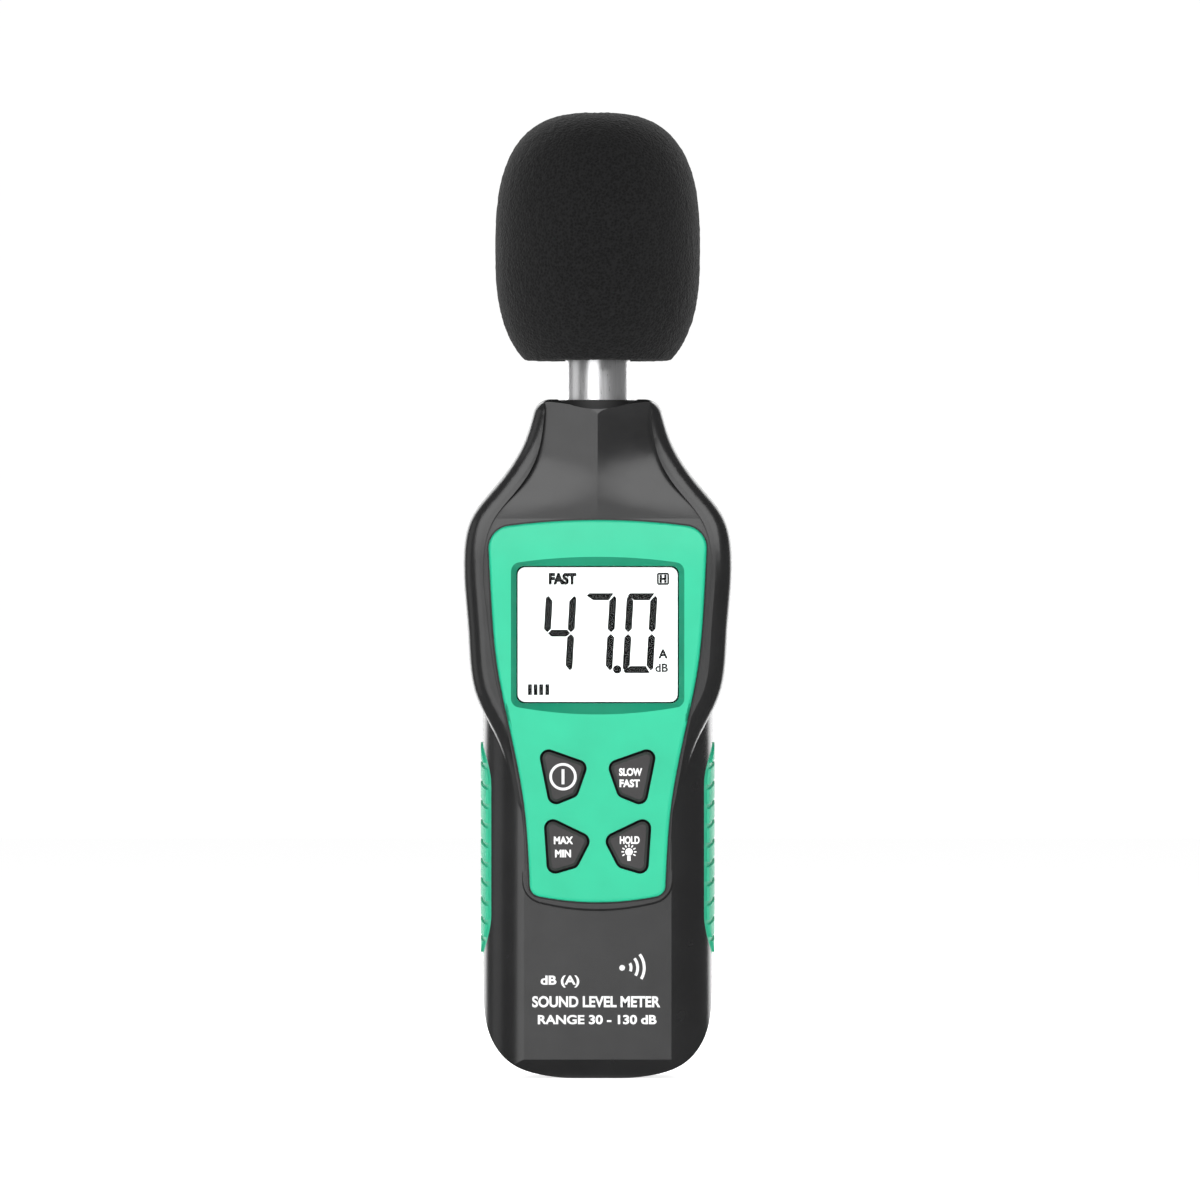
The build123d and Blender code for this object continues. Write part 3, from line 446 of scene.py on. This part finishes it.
# ---- Windscreen ----
def screen_profile():
    """(r, z) points from the top centre, round the outside and up the bore."""
    steps = 40
    dome_height = TOTAL_HEIGHT - PORE_ALLOWANCE - SCREEN_WIDEST_Z
    dome = []
    for i in range(steps + 1):
        angle = radians(90 * (1 - i / steps))
        r = SCREEN_RADIUS * max(0.0, cos(angle)) ** (2 / SCREEN_TOP_POWER)
        dome.append((r, SCREEN_WIDEST_Z + dome_height * sin(angle) ** (2 / SCREEN_TOP_POWER)))
    belly = []
    for i in range(1, steps + 1):
        angle = radians(SCREEN_BELLY_END * i / steps)
        r = SCREEN_RADIUS * cos(angle) ** (2 / SCREEN_BELLY_POWER)
        belly.append((r, SCREEN_WIDEST_Z - SCREEN_DROP * sin(angle) ** (2 / SCREEN_BELLY_POWER)))
    edge = belly[-1][0]
    foot = [(edge - 0.3, SCREEN_BOTTOM + 0.15), (edge - 1.0, SCREEN_BOTTOM)]
    foot.append((SCREEN_BORE + 0.8, SCREEN_BOTTOM))
    bore_levels = (SCREEN_BOTTOM + 0.5, 160.0, 170.0, SCREEN_BORE_TOP - 0.4)
    bore = [(SCREEN_BORE, z) for z in bore_levels]
    bore += [(SCREEN_BORE - 0.4, SCREEN_BORE_TOP), (0.0, SCREEN_BORE_TOP)]
    return dome + belly + foot + bore


def turned(name, profile, steps, material, body):
    """Closed surface from an (r, z) profile, in millimetres, that starts and ends on the axis."""
    points = [(0, 0, profile[0][1])]
    for r, z in profile[1:-1]:
        points += [(r * cos(2 * pi * j / steps), r * sin(2 * pi * j / steps), z) for j in range(steps)]
    points.append((0, 0, profile[-1][1]))
    rows, faces = len(profile) - 2, []
    for j in range(steps):
        k = (j + 1) % steps
        faces.append([0, 1 + j, 1 + k])
        for i in range(rows - 1):
            low = 1 + i * steps
            faces.append([low + j, low + steps + j, low + steps + k, low + k])
        faces.append([1 + (rows - 1) * steps + j, len(points) - 1, 1 + (rows - 1) * steps + k])
    return add_object(name, mesh_from(name, points, faces), material, body)


def windscreen():
    """Foam ball: the smooth form, then a fine roughness so that its outline is not a clean line."""
    obj = turned("foam_windscreen", screen_profile(), 220, foam_material(), "windscreen")
    pores = bpy.data.textures.new("foam_pores", "CLOUDS")
    pores.noise_scale = 0.9 * MM
    pores.noise_depth = 1
    rough = obj.modifiers.new("pores", "DISPLACE")
    rough.texture = pores
    rough.strength = 0.30 * MM
    rough.mid_level = 0.8
    rough.texture_coords = "LOCAL"
    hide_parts("windscreen")


# ---- Finishes for the CAD nodes ----
def plastics():
    """Case, bezel, small mouldings, board and label."""
    accent = moulded("accent_plastic", ACCENT, 0.34, grain=0.16, depth=0.003, spread=0.04, specular=0.4)
    return {
        "case_plastic": moulded("case_plastic", (0.0105, 0.0105, 0.0108), 0.25, grain=0.22, depth=0.004),
        "accent_plastic": accent,
        "white_plastic": moulded("white_plastic", (0.8, 0.8, 0.8), 0.45),
        "clear_window": window_material(),
        "diffuser": moulded("diffuser", (0.85, 0.9, 0.85), 0.4),
        "circuit_board": moulded("circuit_board", (0.01, 0.11, 0.045), 0.35, depth=0.004),
        "chip_epoxy": moulded("chip_epoxy", (0.012, 0.012, 0.013), 0.6),
        "trimmer_blue": moulded("trimmer_blue", (0.01, 0.05, 0.4), 0.3),
        "lead_red": moulded("lead_red", (0.5, 0.01, 0.01), 0.45),
        "lead_black": moulded("lead_black", (0.01, 0.01, 0.01), 0.45),
        "lead_grey": moulded("lead_grey", (0.15, 0.15, 0.155), 0.5),
        "label_film": moulded("label_film", (0.24, 0.24, 0.245), 0.5, depth=0.002, specular=0.3),
    }


def rubbers_and_foam():
    """Grips, keys, seals, contact pills and the windscreen's foam."""
    return {
        "grip_rubber": moulded("grip_rubber", shade(ACCENT, 0.85), 0.5, grain=0.14, depth=0.006, spread=0.06),
        "key_rubber": moulded("key_rubber", (0.03, 0.028, 0.0285), 0.55, grain=0.12, depth=0.006),
        "black_rubber": moulded("black_rubber", (0.008, 0.008, 0.008), 0.6),
        "white_rubber": moulded("white_rubber", (0.7, 0.7, 0.7), 0.6),
        "carbon": moulded("carbon", (0.006, 0.006, 0.006), 0.7),
        "foam": foam_material(),
    }


def metals():
    """Microphone tube, hardware, contacts and cans."""
    along_z = (1.0, 1.0, 0.05)
    return {
        "aluminium": metal("aluminium", (0.83, 0.83, 0.84), 0.3, brush=along_z),
        "steel": metal("steel", (0.6, 0.6, 0.6), 0.3),
        "brass": metal("brass", (0.78, 0.57, 0.25), 0.3),
        "gold_pads": metal("gold_pads", (0.9, 0.65, 0.25), 0.25),
        "capacitor_can": metal("capacitor_can", (0.7, 0.7, 0.72), 0.3),
        "cell_steel": metal("cell_steel", (0.55, 0.55, 0.56), 0.35, brush=along_z),
    }


def finishes():
    """Material for each of the record's slots."""
    return {"display_glass": display_material_painted_glow(), **plastics(), **rubbers_and_foam(), **metals()}


def paint_shade_in_window_recess(bezel, colour):
    """Painted shade on the sloping sides of the window recess: they get a darker copy of the bezel's colour
    in place of the shade that falls there.
    """
    bezel.data.materials.append(moulded("accent_recess_painted_shade", colour, 0.4, grain=0.16, depth=0.003, specular=0.2))
    # painted shade: faces in the recess that are not flat get the darker material
    for face in bezel.data.polygons:
        inside = abs(face.center.x) < RECESS_HALF_WIDTH * MM
        inside = inside and RECESS_BOTTOM * MM < face.center.z < RECESS_TOP * MM
        if inside and abs(face.normal.y) < FLAT_NORMAL:
            face.material_index = 1


def sleeve_cells(nodes):
    """The round sides of the battery cells get a printed plastic sleeve; their ends stay bare steel."""
    sleeve = moulded("cell_sleeve", (0.02, 0.05, 0.16), 0.28, grain=0.6, depth=0.0003, spread=0.05)
    for name in ("cell_left", "cell_middle", "cell_right"):
        cell = nodes[name]
        cell.data.materials.append(sleeve)
        levels = [v.co.z for v in cell.data.vertices]
        length = max(levels) - min(levels)
        for face in cell.data.polygons:
            heights = [cell.data.vertices[i].co.z for i in face.vertices]
            if max(heights) - min(heights) > 0.5 * length:
                face.material_index = 1


def finish_cad_nodes():
    """Give each CAD node its slot's material, then the second materials of the cells and the bezel; the
    bezel's is painted shade for its window recess.
    """
    made = finishes()
    slots = {part["node"]: part["material_slot"] for part in frame["record"]["subparts"]}
    for node, obj in frame["nodes"].items():
        obj.data.materials.clear()
        obj.data.materials.append(made[slots[node]])
    sleeve_cells(frame["nodes"])
    # painted shade at half the bezel's colour on the window recess
    paint_shade_in_window_recess(frame["nodes"]["front_bezel"], shade(ACCENT, 0.5))


# ---- Studio ----
def softbox(name, azimuth, elevation, width, height, radiance):
    """Evenly bright rectangular light, LIGHT_DISTANCE from the middle of the meter and turned towards it.

    Its place and its spans are angles in degrees as seen from the meter, where azimuth 0 is straight in front
    and positive azimuths are to the right.
    """
    distance = LIGHT_DISTANCE * MM
    light = bpy.data.lights.new(name, "AREA")
    light.shape = "RECTANGLE"
    light.size = 2 * distance * tan(radians(width / 2))
    light.size_y = 2 * distance * tan(radians(height / 2))
    light.energy = radiance * pi * light.size * light.size_y
    obj = bpy.data.objects.new(name, light)
    bpy.context.scene.collection.objects.link(obj)
    across, up = radians(azimuth), radians(elevation)
    away = Vector((sin(across) * cos(up), -cos(across) * cos(up), sin(up)))
    obj.location = Vector((0, 0, VIEW_MIDDLE * MM)) + distance * away
    obj.rotation_euler = away.to_track_quat("Z", "Y").to_euler()


def studio_floor():
    """White table. It lights the meter from below but leaves no grey horizon in the glossy plastic."""
    half = FLOOR_HALF
    corners = [(-half, -half, 0), (half, -half, 0), (half, half, 0), (-half, half, 0)]
    material, _, shader = new_material("studio_floor")
    shader.inputs["Base Color"].default_value = (0.86, 0.86, 0.86, 1)
    shader.inputs["Roughness"].default_value = 0.7
    shader.inputs["Emission Color"].default_value = (1, 1, 1, 1)
    shader.inputs["Emission Strength"].default_value = 0.8
    floor = add_object("studio_floor", mesh_from("studio_floor", corners, [[0, 1, 2, 3]]), material, None)
    floor.visible_glossy = False


def studio_surround():
    """White surround that only the camera sees, so it adds no light."""
    mesh = bpy.data.meshes.new("studio_surround")
    shell = bmesh.new()
    bmesh.ops.create_icosphere(shell, subdivisions=4, radius=1.6 * CAMERA_DISTANCE * MM)
    shell.to_mesh(mesh)
    shell.free()
    material, _, shader = new_material("studio_surround")
    shader.inputs["Base Color"].default_value = (0, 0, 0, 1)
    shader.inputs["Emission Color"].default_value = (1, 1, 1, 1)
    shader.inputs["Emission Strength"].default_value = 1.0
    dome = add_object("studio_surround", mesh, material, None)
    dome.visible_diffuse = False
    dome.visible_glossy = False
    dome.visible_transmission = False
    dome.visible_shadow = False


def studio():
    """Dim white world, the floor, the surround and the softboxes that the glossy plastic reflects."""
    world = bpy.data.worlds.new("studio")
    world.use_nodes = True
    world.node_tree.nodes["Background"].inputs["Color"].default_value = (1, 1, 1, 1)
    world.node_tree.nodes["Background"].inputs["Strength"].default_value = 0.2
    bpy.context.scene.world = world
    studio_floor()
    studio_surround()
    softbox("front_box", -15, -2, 35, 28, 2.4)
    softbox("upper_box", -3, 33, 76, 36, 3.4)
    softbox("left_box", -86, 8, 30, 55, 0.6)
    softbox("back_left_box", -146, 10, 34, 60, 3.2)
    softbox("back_right_box", 146, 10, 34, 60, 3.2)
    softbox("back_upper_box", 180, 42, 50, 30, 2.4)


def camera():
    """Long lens, level with the middle of the view and a little to the right."""
    data = bpy.data.cameras.new("camera")
    data.sensor_width = 36.0
    data.lens = data.sensor_width * CAMERA_DISTANCE / VIEW_HEIGHT
    data.clip_end = 20
    obj = bpy.data.objects.new("camera", data)
    bpy.context.scene.collection.objects.link(obj)
    obj.location = (0.5 * MM, -CAMERA_DISTANCE * MM, VIEW_MIDDLE * MM)
    obj.rotation_euler = (pi / 2, 0, 0)
    bpy.context.scene.camera = obj


camera()
studio()
finish_cad_nodes()
display_ink = moulded("display_ink", (0.003, 0.003, 0.003), 0.5, specular=0.1)
white_ink = moulded("white_ink", (0.75, 0.75, 0.75), 0.5)
windscreen()
display_content(display_ink)
key_legends(white_ink)
case_legends(white_ink)
label_words(display_ink)
bpy.context.scene.view_settings.view_transform = "Standard"
